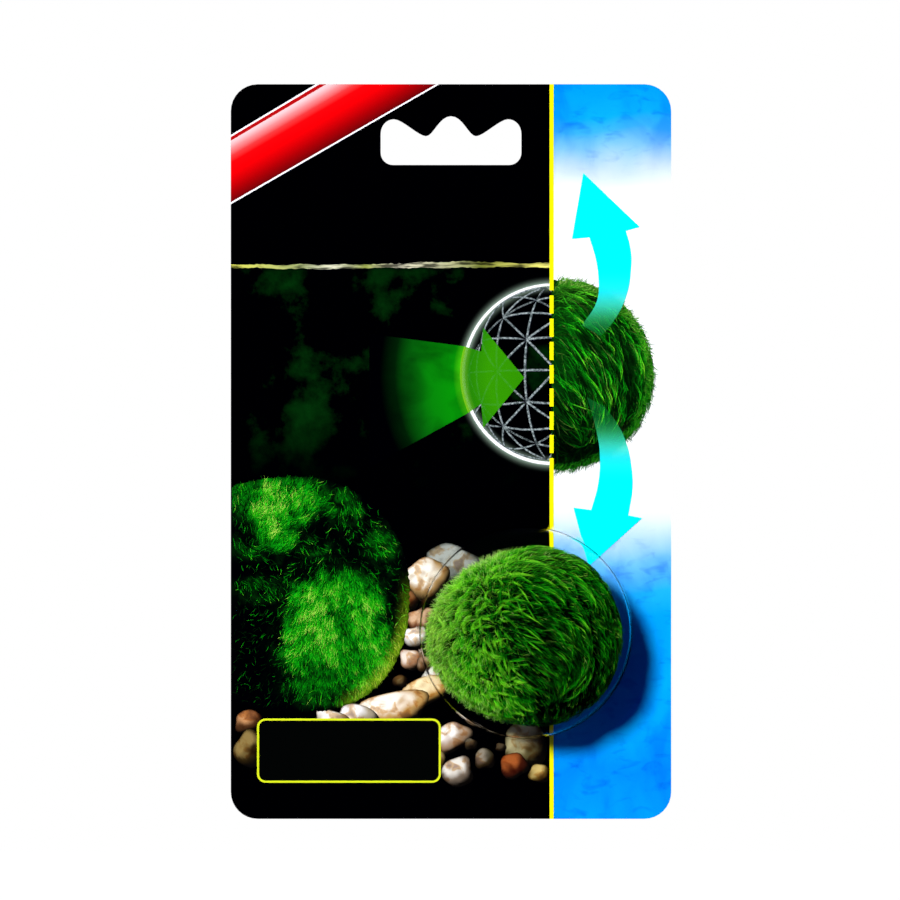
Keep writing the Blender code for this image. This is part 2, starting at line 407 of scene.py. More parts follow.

# Old growth. Inside, the filaments are packed into a felt core, whose near-black green is painted shade, so
# that the gaps show dark.
FELT_INSET = 2.7 * MM
MERGE_WITHIN = 0.001 * MM
FELT_CLUMP = 1.1 * MM
moss_core_painted_shade, tree, shader = start_material(
    "algal_felt_painted_shade", Roughness=0.9, Specular_IOR_Level=0.1
)
spot = add_node(tree, "TexCoord").outputs["Object"]
clumps = add_node(tree, "TexNoise", {"Vector": spot, "Scale": 1 / FELT_CLUMP, "Detail": 4.0})
# Painted shade: the felt's green is near black.
felt_shade_green = add_node(tree, "ValToRGB", {"Fac": clumps}, ramp=[(0.35, "#000200"), (0.75, "#062406")])
feed(shader, "Base Color", felt_shade_green)
relief = add_node(tree, "Bump", {"Height": clumps, "Distance": 0.4 * MM})
feed(shader, "Normal", relief)

felt = add_piece("moss_core_painted_shade", moss_node.data.copy())
edit_all(felt)
bpy.ops.mesh.remove_doubles(threshold=MERGE_WITHIN)
bpy.ops.transform.shrink_fatten(value=-FELT_INSET)
bpy.ops.object.mode_set(mode="OBJECT")
felt.data.materials.clear()
felt.data.materials.append(moss_core_painted_shade)
felt.data.shade_smooth()
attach(felt, "root")
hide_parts("moss_ball")

# ---------------------------------------------------------------------------------------------
# Card. Solid bleached board 0.6 mm thick, die-cut with its peg hole in one stroke, so its edges
# are clean and show the pale core. Its back is bare board, and its front is printed and varnished.
# ---------------------------------------------------------------------------------------------
BOARD_FIBRE = 0.35 * MM
BOARD_CLOUD = 9 * MM

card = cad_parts["card"]
card_low, card_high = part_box("card")

# Uncoated board: matt and pale, with a faint cloud of formation and a tooth of short fibres.
bleached_board, tree, shader = start_material(
    "solid_bleached_board_uncoated", Roughness=0.85, Specular_IOR_Level=0.25
)
spot = add_node(tree, "TexCoord").outputs["Object"]
fibres = add_node(tree, "TexNoise", {"Vector": spot, "Scale": 1 / BOARD_FIBRE, "Detail": 3.0})
cloud = add_node(tree, "TexNoise", {"Vector": spot, "Scale": 1 / BOARD_CLOUD, "Detail": 2.0})
formation = add_node(tree, "Math", {0: fibres, 1: cloud}, operation="ADD")
formation = add_node(tree, "Math", {0: formation, 1: 0.5}, operation="MULTIPLY")
paper = add_node(tree, "ValToRGB", {"Fac": formation}, ramp=[(0.3, "#CFCAC0"), (0.7, "#E6E3DB")])
feed(shader, "Base Color", paper)
relief = add_node(tree, "Bump", {"Height": fibres, "Distance": 0.03 * MM, "Strength": 0.5})
feed(shader, "Normal", relief)
card.data.materials.clear()
card.data.materials.append(bleached_board)

# ---------------------------------------------------------------------------------------------
# Print. Offset inks under a gloss water-based varnish, one film over another. Real ink is a few
# thousandths of a millimetre thick, and here each film is drawn a little thicker to keep them apart.
# ---------------------------------------------------------------------------------------------
# Levels count outwards from the board: fields 1, sash, water line and lattice 2, ring and grounds 3, beam
# and moss 4, green arrow 6, plate 9 and 10, dividing line 10, flow arrows 11.
INK_FILM = 0.012 * MM
INK_STEP = 0.022 * MM
ORANGE_PEEL = 0.8 * MM
LINE_ACROSS = 83.4


def on_card(across, down):
    """A place on the card's face, in millimetres across and down from its top left corner, as (x, z)."""
    return card_low.x + across * MM, card_high.z - down * MM


def ink_material(name):
    """Ink under varnish: smooth, with the board's faint orange peel. Its colour is left to the caller."""
    material, tree, shader = start_material(name, Roughness=0.32, IOR=1.48)
    spot = add_node(tree, "TexCoord").outputs["Object"]
    peel = add_node(tree, "TexNoise", {"Vector": spot, "Scale": 1 / ORANGE_PEEL})
    relief = add_node(tree, "Bump", {"Height": peel, "Distance": 0.004 * MM, "Strength": 0.6})
    feed(shader, "Normal", relief)
    return material, tree, shader, spot


def flat_ink(name, code):
    """An ink of one even colour."""
    material, tree, shader, spot = ink_material(name)
    shader.inputs["Base Color"].default_value = hex_colour(code)
    return material


def lay_film(piece, level, material):
    """Gives a flat outline its place in the stack of inks and its thickness, as a closed film."""
    here = card_low.y - INK_STEP * level
    for vertex in piece.data.vertices:
        vertex.co.y = here
    edit_all(piece)
    bpy.ops.mesh.remove_doubles(threshold=MERGE_WITHIN)
    bpy.ops.mesh.normals_make_consistent(inside=False)
    bpy.ops.object.mode_set(mode="OBJECT")
    if piece.data.polygons[0].normal.y > 0:
        piece.data.flip_normals()
    film = piece.modifiers.new("film", "SOLIDIFY")
    film.thickness = INK_FILM
    film.offset = 1.0
    bpy.ops.object.modifier_apply(modifier="film")
    piece.data.materials.clear()
    piece.data.materials.append(material)
    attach(piece, "root")


def cut_away(piece, plane_x, keep_right):
    """Cuts a flat piece at an upright line and drops the part on one side."""
    edit_all(piece)
    bpy.ops.mesh.bisect(
        plane_co=(plane_x, 0, 0), plane_no=(1, 0, 0), clear_inner=keep_right, clear_outer=not keep_right
    )
    bpy.ops.object.mode_set(mode="OBJECT")


def card_face(name):
    """The card's printed side as a flat outline, with the peg hole in it."""
    piece = add_piece(name, card.data.copy())
    edit_all(piece)
    bpy.ops.mesh.remove_doubles(threshold=MERGE_WITHIN)
    bpy.ops.mesh.select_mode(type="FACE")
    shape = bmesh.from_edit_mesh(piece.data)
    for face in shape.faces:
        face.select_set(face.normal.y > -0.9)
    bmesh.update_edit_mesh(piece.data)
    bpy.ops.mesh.delete(type="FACE")
    bpy.ops.object.mode_set(mode="OBJECT")
    return piece


def printed_outline(name, outline):
    """A flat mesh from an outline of (across, down, kind) in mm, whose kind is corner or smooth."""
    curve = bpy.data.curves.new(name, "CURVE")
    curve.dimensions = "2D"
    curve.fill_mode = "FRONT"
    curve.resolution_u = 12
    spline = curve.splines.new("BEZIER")
    spline.bezier_points.add(len(outline) - 1)
    spline.use_cyclic_u = True
    for point, (across, down, kind) in zip(spline.bezier_points, outline):
        x, z = on_card(across, down)
        point.co = (x, z, 0)
        point.handle_left_type = point.handle_right_type = "AUTO" if kind == "smooth" else "VECTOR"
    piece = add_piece(name, curve)
    select_only(piece)
    bpy.ops.object.convert(target="MESH")
    piece.rotation_euler.x = math.pi / 2
    bpy.ops.object.transform_apply(location=True, rotation=True, scale=True)
    return piece


def corners(*places):
    """Marks places in mm as sharp corners of an outline."""
    return [(across, down, "corner") for across, down in places]


line_x = on_card(LINE_ACROSS, 0)[0]

# Left field: a full black with a trace of green water haze, and a soft halo round the cutaway picture.
CUTAWAY_MIDDLE = (83.7, 75.4)
CUTAWAY_RADIUS = 23.6
HAZE_FROM, HAZE_TO = 47, 106
HALO_WIDE = 2.8 * MM
cutaway_x, cutaway_z = on_card(*CUTAWAY_MIDDLE)


def from_cutaway(tree, spot):
    """Distance over the card from the middle of the cutaway picture, in metres."""
    shift = (-cutaway_x, 0, -cutaway_z)
    centred = add_node(tree, "Mapping", {"Vector": spot, "Scale": (1, 0, 1), "Location": shift})
    return add_node(tree, "VectorMath", {0: centred}, operation="LENGTH").outputs["Value"]


black_ink, tree, shader, spot = ink_material("offset_black_with_green_haze")
shader.inputs["Specular IOR Level"].default_value = 0.3
axes = add_node(tree, "SeparateXYZ", {0: spot})
haze_top, haze_bottom = on_card(0, HAZE_FROM)[1], on_card(0, HAZE_TO)[1]
under = add_node(
    tree, "MapRange", {"Value": axes.outputs["Z"], 1: haze_top, 2: haze_top - 2 * MM},
    interpolation_type="SMOOTHSTEP",
)
above = add_node(
    tree, "MapRange", {"Value": axes.outputs["Z"], 1: haze_bottom, 2: haze_bottom + 25 * MM},
    interpolation_type="SMOOTHSTEP",
)
drift = add_node(
    tree, "TexNoise", {"Vector": spot, "Scale": 1 / (24 * MM), "Detail": 7.0, "Roughness": 0.62}
)
wisps = add_node(tree, "MapRange", {"Value": drift, 1: 0.53, 2: 0.78})
band = add_node(tree, "Math", {0: under, 1: above}, operation="MULTIPLY")
haze = add_node(tree, "Math", {0: band, 1: wisps}, operation="MULTIPLY")
dim_green = add_node(tree, "ValToRGB", {"Fac": haze}, ramp=[(0.0, "#000000"), (1.0, "#053C0A")])
halo_radius = (CUTAWAY_RADIUS - 0.4) * MM
off_ring = add_node(tree, "Math", {0: from_cutaway(tree, spot), 1: halo_radius}, operation="SUBTRACT")
away_from_ring = add_node(tree, "Math", {0: off_ring}, operation="ABSOLUTE")
halo = add_node(tree, "MapRange", {"Value": away_from_ring, 1: 0.0, 2: HALO_WIDE, 3: 1.0, 4: 0.0})
halo = add_node(tree, "Math", {0: halo, 1: 3.6}, operation="POWER")
halo = add_node(tree, "Math", {0: halo, 1: 0.6}, operation="MULTIPLY")
colour = add_node(tree, "Mix", {"Factor": halo, 6: dim_green, 7: hex_colour("#C8E8CC")}, data_type="RGBA")
feed(shader, "Base Color", colour.outputs[2])
left_field = card_face("print_left_field")
cut_away(left_field, line_x, keep_right=False)
lay_film(left_field, 1, black_ink)

# Right field: blue sky that pales to bare white, then pale water that deepens to a marbled blue.
# Each stop is millimetres down the card and its blue.
SKY_AND_WATER = [
    (0, "#0098F2"), (8, "#08A6FE"), (12, "#3AAEFE"), (16, "#7AC0FE"), (22, "#C6DCFE"), (30, "#FFFFFF"),
    (108, "#FFFFFF"), (114, "#E0F0FC"), (119, "#B0DAFA"), (124, "#74C4F8"), (132, "#1CB0F8"),
    (140, "#02A4F4"), (163, "#02AAFA"), (178, "#028CF0"), (191, "#0298F6"),
]
CARD_TALL = (card_high.z - card_low.z) / MM
blue_ink, tree, shader, spot = ink_material("offset_blue_sky_and_water")
axes = add_node(tree, "SeparateXYZ", {0: spot})
stir = add_node(tree, "TexNoise", {"Vector": spot, "Scale": 1 / (22 * MM), "Detail": 2.0})
lifted = add_node(tree, "MapRange", {"Value": stir, 1: 0.3, 2: 0.7, 3: -2 * MM, 4: 2 * MM})
level = add_node(tree, "Math", {0: axes.outputs["Z"], 1: lifted}, operation="ADD")
down = add_node(tree, "MapRange", {"Value": level, 1: card_high.z, 2: card_low.z})
wash = add_node(
    tree, "ValToRGB", {"Fac": down}, ramp=[(place / CARD_TALL, code) for place, code in SKY_AND_WATER]
)
stretch = add_node(tree, "Mapping", {"Vector": spot, "Scale": (1.0, 1.0, 0.55), "Rotation": (0, 0.5, 0)})
marble = add_node(
    tree, "TexNoise", {"Vector": stretch, "Scale": 1 / (10 * MM), "Detail": 4.0, "Distortion": 0.7}
)
veins = add_node(
    tree, "ValToRGB", {"Fac": marble}, ramp=[(0.32, "#A8C8F2"), (0.47, "#E8F0FF"), (0.62, "#FFFFFF")]
)
flatten = add_node(tree, "Mapping", {"Vector": spot, "Scale": (0.45, 1.0, 1.0), "Rotation": (0, -0.35, 0)})
wavelets = add_node(
    tree, "TexNoise", {"Vector": flatten, "Scale": 1 / (2.6 * MM), "Detail": 3.0, "Distortion": 0.8}
)
glints = add_node(tree, "ValToRGB", {"Fac": wavelets}, ramp=[(0.24, "#A4C0EA"), (0.46, "#FFFFFF")])
ripples = add_node(
    tree, "Mix", {"Factor": 1.0, 6: veins, 7: glints}, data_type="RGBA", blend_type="MULTIPLY"
)
deep = add_node(tree, "SeparateColor", {"Color": wash})
share = add_node(tree, "MapRange", {"Value": deep.outputs["Red"], 1: 0.75, 2: 0.1, 3: 0.0, 4: 0.8})
colour = add_node(
    tree, "Mix", {"Factor": share, 6: wash, 7: ripples.outputs[2]}, data_type="RGBA", blend_type="MULTIPLY"
)
feed(shader, "Base Color", colour.outputs[2])
right_field = card_face("print_right_field")
cut_away(right_field, line_x, keep_right=True)
lay_film(right_field, 1, blue_ink)

# Sash: a corner band at 30 degrees, from white through red to dark red, between white hairlines. It is
# left blank. Each strip runs from two places down the left edge to two places along the top edge.
SASH_TURN = math.radians(30.1)
white_ink = flat_ink("offset_opaque_white", "#FBFBFB")
dark_red_ink = flat_ink("offset_dark_red", "#B00A0A")
red_ink, tree, shader, spot = ink_material("offset_red_sash_with_highlight")
corner_x, corner_z = on_card(0, 0)
from_corner = add_node(tree, "Mapping", {"Vector": spot, "Location": (-corner_x, 0, -corner_z)})
across = add_node(
    tree, "VectorMath", {0: from_corner, 1: (math.sin(SASH_TURN), 0, -math.cos(SASH_TURN))},
    operation="DOT_PRODUCT",
)
width = add_node(tree, "MapRange", {"Value": across.outputs["Value"], 1: 12.4 * MM, 2: 27.0 * MM})
reds = add_node(
    tree, "ValToRGB", {"Fac": width},
    ramp=[
        (0.04, "#F0C4C4"), (0.15, "#E48484"), (0.26, "#E03636"), (0.36, "#E60404"), (0.52, "#E80000"),
        (0.8, "#A00000"), (1.0, "#560404"),
    ],
)
feed(shader, "Base Color", reds)
for name, high, low, near, far, ink in (
    ("hairline_upper", 13.2, 13.7, 22.1, 23.0, white_ink),
    ("edge", 13.7, 14.7, 23.0, 24.8, dark_red_ink),
    ("band", 14.7, 30.7, 24.8, 53.4, red_ink),
    ("hairline_lower", 30.7, 31.2, 53.4, 54.2, white_ink),
):
    strip = corners((0, high), (near, 0), (far, 0), (0, low))
    lay_film(printed_outline(f"print_sash_{name}", strip), 2, ink)

# Dividing line: yellow, whole above and below, and dashed where the cutaway picture crosses it.
LINE_WIDE = 1.05
DASHED_FROM, DASHED_TO = 53.6, 97.2
DASHES = 7
DASH_GAP = 1.3
yellow_ink = flat_ink("offset_process_yellow", "#FAF500")
dash = (DASHED_TO - DASHED_FROM - DASH_GAP * (DASHES + 1)) / DASHES
spans = [(0, DASHED_FROM), (DASHED_TO, CARD_TALL)]
spans += [(DASHED_FROM + DASH_GAP + i * (dash + DASH_GAP), 0) for i in range(DASHES)]
for number, (first, last) in enumerate(spans):
    last = last or first + dash
    near, far = LINE_ACROSS - LINE_WIDE / 2, LINE_ACROSS + LINE_WIDE / 2
    stroke = corners((near, first), (far, first), (far, last), (near, last))
    lay_film(printed_outline(f"print_divider_{number + 1}", stroke), 10, yellow_ink)

# Water line: a thin broken streak of olive light across the black, brightest towards the dividing line.
WATER_LINE_DOWN = 47.2
rng = np.random.default_rng(11)
along = np.linspace(0.0, LINE_ACROSS, 111)
middle = WATER_LINE_DOWN + 0.3 * np.sin(along * 0.075) + 0.12 * np.sin(along * 0.6)
middle = middle + rng.normal(0, 0.07, len(along))
half = 0.36 + 0.006 * along * np.abs(np.sin(along * 0.083)) + rng.uniform(0, 0.16, len(along))
streak_outline = list(zip(along, middle - half)) + list(zip(along, middle + half))[::-1]
streak_ink, tree, shader, spot = ink_material("offset_olive_water_line")
axes = add_node(tree, "SeparateXYZ", {0: spot})
along = add_node(tree, "MapRange", {"Value": axes.outputs["X"], 1: card_low.x, 2: line_x})
run = add_node(tree, "Mapping", {"Vector": spot, "Scale": (0.25, 1.0, 1.6)})
broken = add_node(tree, "TexNoise", {"Vector": run, "Scale": 1 / (1.2 * MM), "Detail": 4.0})
olive = add_node(
    tree, "ValToRGB", {"Fac": along},
    ramp=[
        (0.0, "#C8C850"), (0.22, "#98A468"), (0.32, "#D8D8B8"), (0.42, "#98A448"), (0.52, "#DCD8B8"),
        (0.78, "#788030"), (0.97, "#D8D46A"),
    ],
)
lit = add_node(tree, "MapRange", {"Value": broken, 1: 0.36, 2: 0.58, 3: 0.12, 4: 1.1})
colour = add_node(tree, "VectorMath", {0: olive, "Scale": lit}, operation="SCALE")
feed(shader, "Base Color", colour)
lay_film(printed_outline("print_water_line", corners(*streak_outline)), 2, streak_ink)

# Cutaway picture: the left half of a ball, opened to a hollow lattice of grey struts inside a white ring.
def arc(radius, first, last, steps, shift=(0, 0)):
    """Places round the cutaway picture between two angles, from straight left, down being positive."""
    turns = [math.radians(first + (last - first) * i / steps) for i in range(steps + 1)]
    across, down = CUTAWAY_MIDDLE[0] + shift[0], CUTAWAY_MIDDLE[1] + shift[1]
    return [(across - radius * math.cos(turn), down + radius * math.sin(turn)) for turn in turns]


RING_WIDE = 0.72
RING_END = 89.3
ring = arc(CUTAWAY_RADIUS, -RING_END, RING_END, 60)
ring += arc(CUTAWAY_RADIUS - RING_WIDE, RING_END, -RING_END, 60, shift=(0.08, -0.10))
lay_film(printed_outline("print_ring", corners(*ring)), 3, white_ink)

# Green beam: smoky light that comes from the left and meets the ring, and the arrow that it becomes.
BEAM_TOP, BEAM_BOTTOM = -17.5, 24.6
BEAM_START = ((36.0, 64.9), (36.0, 99.6))
beam_ink, tree, shader, spot = ink_material("offset_green_beam")
reach_out = add_node(tree, "MapRange", {"Value": from_cutaway(tree, spot), 1: 23 * MM, 2: 45 * MM})
green_run = add_node(
    tree, "ValToRGB", {"Fac": reach_out},
    ramp=[
        (0.0, "#78D00C"), (0.06, "#36AE05"), (0.13, "#068A02"), (0.42, "#067A04"), (0.62, "#055806"),
        (0.82, "#011C02"), (1.0, "#000000"),
    ],
)
smoke = add_node(
    tree, "TexNoise", {"Vector": spot, "Scale": 1 / (9 * MM), "Detail": 4.0, "Distortion": 0.5}
)
thin = add_node(tree, "MapRange", {"Value": smoke, 1: 0.3, 2: 0.6, 3: 0.45, 4: 1.0})
colour = add_node(tree, "VectorMath", {0: green_run, "Scale": thin}, operation="SCALE")
feed(shader, "Base Color", colour)
beam_end = arc(CUTAWAY_RADIUS + 0.5, BEAM_TOP, BEAM_BOTTOM, 16)
beam = [BEAM_START[0], *beam_end, BEAM_START[1]]
lay_film(printed_outline("print_beam", corners(*beam)), 4, beam_ink)

# The arrow is a thin green, so that the lattice shows through it.
arrow_ink, tree, shader, spot = ink_material("offset_green_arrow")
inward = add_node(tree, "MapRange", {"Value": from_cutaway(tree, spot), 1: 24 * MM, 2: 7 * MM})
green_run = add_node(
    tree, "ValToRGB", {"Fac": inward},
    ramp=[
        (0.0, "#86D214"), (0.06, "#5AAE0A"), (0.13, "#2A9602"), (0.3, "#36A402"), (0.42, "#3CAC00"),
        (1.0, "#38A400"),
    ],
)
feed(shader, "Base Color", green_run)
shader.inputs["Alpha"].default_value = 0.55
ARROW_HEAD = [(65.1, 69.5), (65.6, 63.3), (76.3, 76.3), (65.6, 89.4), (65.1, 83.1)]
arrow_tail = arc(CUTAWAY_RADIUS + 0.5, BEAM_BOTTOM, BEAM_TOP, 16)
green_arrow = [*arrow_tail, *ARROW_HEAD]
lay_film(printed_outline("print_green_arrow", corners(*green_arrow)), 6, arrow_ink)

# Moss pictures: the same moss as the ball's, screened flat. Each stroke is a fibre pressed to the card.
picture_moss, tree, shader, spot = ink_material("offset_moss_greens")
mottle_pigment(tree, shader, 0.4 * MM, 2.0, 0.3, 0.7, 0.7, 1.2)
# Under the strokes lies an even deep green, as the shade between the fibres.
shadow_ink = flat_ink("offset_moss_shadow_green", "#043004")


def press_flat(name, places, radii, pigments, level, material):
    """Lays strokes on the card. Places are across and down in mm, and how near the front, 0 to 1."""
    x, z = on_card(places[..., 0], places[..., 1])
    lifted = np.stack((x, np.full_like(x, -1.0), z), -1)
    vertices, triangles = tubes(lifted, radii)
    sides = np.concatenate((np.repeat(places[:, :-1, 2], 3, axis=1), places[:, -1:, 2]), 1).reshape(-1)
    proud = vertices[:, 1] + 1.0
    vertices[:, 1] = card_low.y - INK_STEP * (level + 4 * sides) + proud * 0.02
    piece = joined_mesh(name, vertices, triangles, at_vertices(pigments), material)
    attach(piece, "root")


def rounded_square(turns, power):
    """How far a rounded square reaches each way. A power of 2 gives a circle, and more is squarer."""
    return (np.abs(np.cos(turns)) ** power + np.abs(np.sin(turns)) ** power) ** (-1 / power)


def bristly(middle, radii, first, last, steps, rng, bristle, power=2.0):
    """A ragged round outline between two angles, clockwise from straight up, in mm across and down."""
    turns = np.radians(np.linspace(first, last, steps))
    swell = rounded_square(turns, power) * (1 + rng.uniform(-bristle, bristle, steps))
    across = middle[0] + radii[0] * np.sin(turns) * swell
    return list(zip(across, middle[1] - radii[1] * np.cos(turns) * swell))


# The lattice: a ball of struts in squares about 30 degrees apart, each with both its diagonals. It is
# turned a little away, so that it is seen from inside.
STRUT_WIDE = 0.86 * MM
STRUT_BENDS = 7
lattice_tilt = Matrix.Identity(3)
for degrees, axis in ((-2.6, "X"), (-18.4, "Z"), (45, "Y")):
    lattice_tilt = lattice_tilt @ Matrix.Rotation(math.radians(degrees), 3, axis)
# Silver grey, finely speckled.
strut_ink, tree, shader, spot = ink_material("offset_silver_grey_struts")
speckle = add_node(tree, "TexNoise", {"Vector": spot, "Scale": 1 / (0.5 * MM), "Detail": 3.0})
grey = add_node(
    tree, "ValToRGB", {"Fac": speckle}, ramp=[(0.36, "#465250"), (0.5, "#7C8888"), (0.64, "#A8B4B2")]
)
feed(shader, "Base Color", grey)
nets = np.tan(np.radians((-45.0, -15.0, 15.0, 45.0)))
struts = []
for first, second, third in ((0, 1, 2), (1, 2, 0), (2, 0, 1)):
    for side in (-1, 1):
        for i in range(4):
            for j in range(4):
                for di, dj in ((1, 0), (0, 1), (1, 1), (1, -1)):
                    if i + di > 3 or not 0 <= j + dj <= 3:
                        continue
                    ends = np.zeros((2, 3))
                    ends[:, first] = side
                    ends[:, second] = nets[i], nets[i + di]
                    ends[:, third] = nets[j], nets[j + dj]
                    struts.append(unit(ends))
struts = np.array(struts) @ np.array(lattice_tilt).T
share = np.linspace(0, 1, STRUT_BENDS)[None, :, None]
bowed = unit(struts[:, :1] * (1 - share) + struts[:, 1:] * share)
bowed = bowed[(bowed[..., 1].max(1) < 0.02) & (bowed[..., 0].min(1) < 0.02)]
inside = (CUTAWAY_RADIUS - 0.8) * bowed
flat = np.stack((inside[..., 0], -inside[..., 2], -0.2 * bowed[..., 1]), -1) + (*CUTAWAY_MIDDLE, 0)
widths = STRUT_WIDE / 2 * (0.5 + 0.5 * np.abs(bowed[..., 1]))
press_flat("print_lattice", flat, widths, np.ones((*widths.shape, 4)), 2, strut_ink)

# Half a moss ball, right of the line.
HALF_BALL_MIDDLE = (83.7, 75.6)
HALF_BALL_RADII = (26.6, 25.6)
HALF_BALL_LOCKS = 3100
rng = np.random.default_rng(23)
ground_radii = [radius * 0.965 for radius in HALF_BALL_RADII]
half_outline = [(LINE_ACROSS, HALF_BALL_MIDDLE[1] - ground_radii[1])]
half_outline += bristly(HALF_BALL_MIDDLE, ground_radii, 1, 179, 220, rng, 0.008)
half_outline += [(LINE_ACROSS, HALF_BALL_MIDDLE[1] + ground_radii[1])]
lay_film(printed_outline("print_half_ball_ground", corners(*half_outline)), 3, shadow_ink)
half_ball_high = HALF_BALL_RADII[1] * MM


def hang(ways, stray):
    """The pictured fibres hang down to the right, steeper towards the rim."""
    turn = np.radians(-46 - 34 * ways[..., 0] - 22 * smoothstep(0.0, -0.9, ways[..., 2]) + stray)
    flow = np.stack((np.cos(turn), -0.25 * np.ones_like(turn), np.sin(turn)), -1)
    flow = unit(flow - ways * (flow * ways).sum(-1, keepdims=True))
    return flow, np.cross(flow, ways)


def round_reach(ways):
    """The pictured ball reaches equally far every way."""
    return np.full(ways.shape[:-1], half_ball_high)


places, lock, values = grow_locks(rng, HALF_BALL_LOCKS, 6, round_reach, lay=hang)
pigments = moss_pigment(rng, lock, values, 4)
away = values["away"]
lit_by = np.clip(away @ unit(np.array((-0.1, -1.0, 0.7))), 0, 1) ** 0.7
low_left = smoothstep(0.1, -0.9, away[..., 2]) * smoothstep(0.7, 0.0, away[..., 0])
even = smoothstep(0.5, -0.1, away[..., 0]) * smoothstep(-0.3, 0.2, away[..., 2])
evened = np.array(hex_colour("#0A5206")) * rng.uniform(0.3, 1.7, len(lock))[:, None, None]
pigments += (evened - pigments) * (0.06 + 0.36 * even)[..., None]
pigments[..., :3] *= ((0.78 + 1.1 * lit_by) * (1 - 0.75 * low_left))[..., None]
seen = (places[:, :, 0].min(1) > -0.25 * MM) & (away[:, :, 1].max(1) < 0.12)
across = HALF_BALL_MIDDLE[0] + places[..., 0] / MM * HALF_BALL_RADII[0] / HALF_BALL_RADII[1]
down = HALF_BALL_MIDDLE[1] - places[..., 2] / MM
flat = np.stack((across, down, -places[..., 1] / half_ball_high), -1)
widths = rng.uniform(0.09, 0.16, len(lock))[:, None] * MM * np.linspace(1.0, 0.4, 4)
press_flat("print_half_ball_moss", flat[seen], widths[seen], pigments[seen], 4, picture_moss)

# The fibres that stand out past the pictured ball's rim.
RIM_FIBRES = 1300
turn = np.radians(rng.uniform(2, 178, RIM_FIBRES))
out = rng.uniform(0.90, 0.975, RIM_FIBRES)
start = np.stack((np.sin(turn) * HALF_BALL_RADII[0] * out, -np.cos(turn) * HALF_BALL_RADII[1] * out), 1)
start = start + np.array(HALF_BALL_MIDDLE)
lean = turn - math.pi / 2 + np.radians(rng.normal(38, 20, RIM_FIBRES))
run = np.stack((np.cos(lean), np.sin(lean)), 1) * rng.uniform(0.8, 2.4, RIM_FIBRES)[:, None]
strokes = start[:, None] + run[:, None] * np.linspace(0, 1, 4)[:, None]
front = np.broadcast_to(rng.random((RIM_FIBRES, 1, 1)), strokes.shape[:2] + (1,))
flat = np.concatenate((strokes, front), -1)
tone = 0.60 + 0.22 * np.cos(turn) + rng.normal(0, 0.14, RIM_FIBRES)
shares = tone[:, None] * np.linspace(0.6, 1.1, 4)
pigments = blend_colours(shares, ("#042A03", "#12700A", "#46A418", "#C8F078"))
widths = rng.uniform(0.06, 0.11, RIM_FIBRES)[:, None] * MM * np.linspace(1.0, 0.4, 4)
press_flat("print_half_ball_rim", flat, widths, pigments, 4, picture_moss)

# A larger clump of moss fills the lower left, with two lit tufts and a pale right rim.
TUFTS = (
    # middle across, down, spread across, down, light, where the tuft's fibres spring from
    (10.8, 110.5, 5.6, 7.6, 1.22, (5.0, 124.0)), (17.8, 108.0, 7.5, 5.0, 0.88, (12.0, 120.0)),
    (3.5, 107.5, 7.0, 5.0, 0.54, (2.0, 122.0)), (12.5, 118.0, 5.5, 3.4, 0.80, (8.0, 127.0)),
    (21.0, 137.5, 6.0, 8.0, 1.16, (28.0, 120.0)), (28.5, 132.5, 9.0, 6.0, 0.88, (28.0, 116.0)),
    (35.0, 139.0, 4.6, 9.0, 1.14, (33.0, 122.0)), (18.0, 146.0, 5.0, 7.0, 0.98, (26.0, 128.0)),
    (24.5, 146.0, 6.5, 7.0, 1.02, (25.5, 126.0)), (38.0, 148.5, 4.6, 8.5, 0.98, (33.0, 128.0)),
    (30.5, 149.0, 7.0, 8.0, 0.66, (28.0, 130.0)), (35.5, 156.0, 5.0, 5.0, 0.84, (30.0, 136.0)),
    (23.0, 156.5, 8.0, 4.0, 0.56, (24.0, 136.0)), (8.0, 131.0, 7.0, 2.6, 0.34, (2.0, 124.0)),
    (6.5, 121.0, 6.0, 2.6, 0.40, (0.0, 114.0)), (39.5, 120.0, 4.5, 5.0, 0.42, (30.0, 108.0)),
    (30.5, 110.5, 2.6, 5.5, 0.52, (30.0, 98.0)), (23.0, 121.5, 4.5, 2.4, 0.42, (16.0, 114.0)),
)
# The clump's middle, and how far it reaches to the right, up, down and to the left.
CLUMP_MIDDLE = (17.9, 131.6)
CLUMP_RADII = (28.6, 29.6, 31.7)
CLUMP_LEFT = 44.0
CLUMP_SQUARENESS = 2.4
STROKES = 7800
torn = hills(np.random.default_rng(41), 5.0)


def clump_light(places):
    """Light on the clump, the way its fibres lie, and how far out each place is, for places in mm."""
    tall = np.where(places[:, 1] < CLUMP_MIDDLE[1], CLUMP_RADII[1], CLUMP_RADII[2])
    wide = np.where(places[:, 0] < CLUMP_MIDDLE[0], CLUMP_LEFT, CLUMP_RADII[0])
    u, v = (places[:, 0] - CLUMP_MIDDLE[0]) / wide, (places[:, 1] - CLUMP_MIDDLE[1]) / tall
    power = np.where((u > 0) & (v > 0), CLUMP_SQUARENESS, 2.0)
    out = (np.abs(u) ** power + np.abs(v) ** power) ** (1 / power)
    light = np.zeros(len(places))
    spring = np.zeros_like(places)
    spots = np.stack((places[:, 0], places[:, 1], 9 * np.ones(len(places))), 1)
    ragged = places + 1.3 * torn(spots)[:, None]
    for across, down, wide, high, glow, source in TUFTS:
        away = ((ragged[:, 0] - across) / wide) ** 2 + ((ragged[:, 1] - down) / high) ** 2
        near = glow * np.exp(-0.8 * away**1.5)
        light = np.maximum(light, near)
        spring += near[:, None] * unit(places - np.array(source))
    return light, spring, out


def rim_glow(places, out):
    """How much of the pale light on the clump's lower right rim falls on each place."""
    low_right = smoothstep(26, 38, places[:, 0]) * smoothstep(126, 150, places[:, 1])
    return smoothstep(0.86, 1.0, out) ** 1.6 * low_right


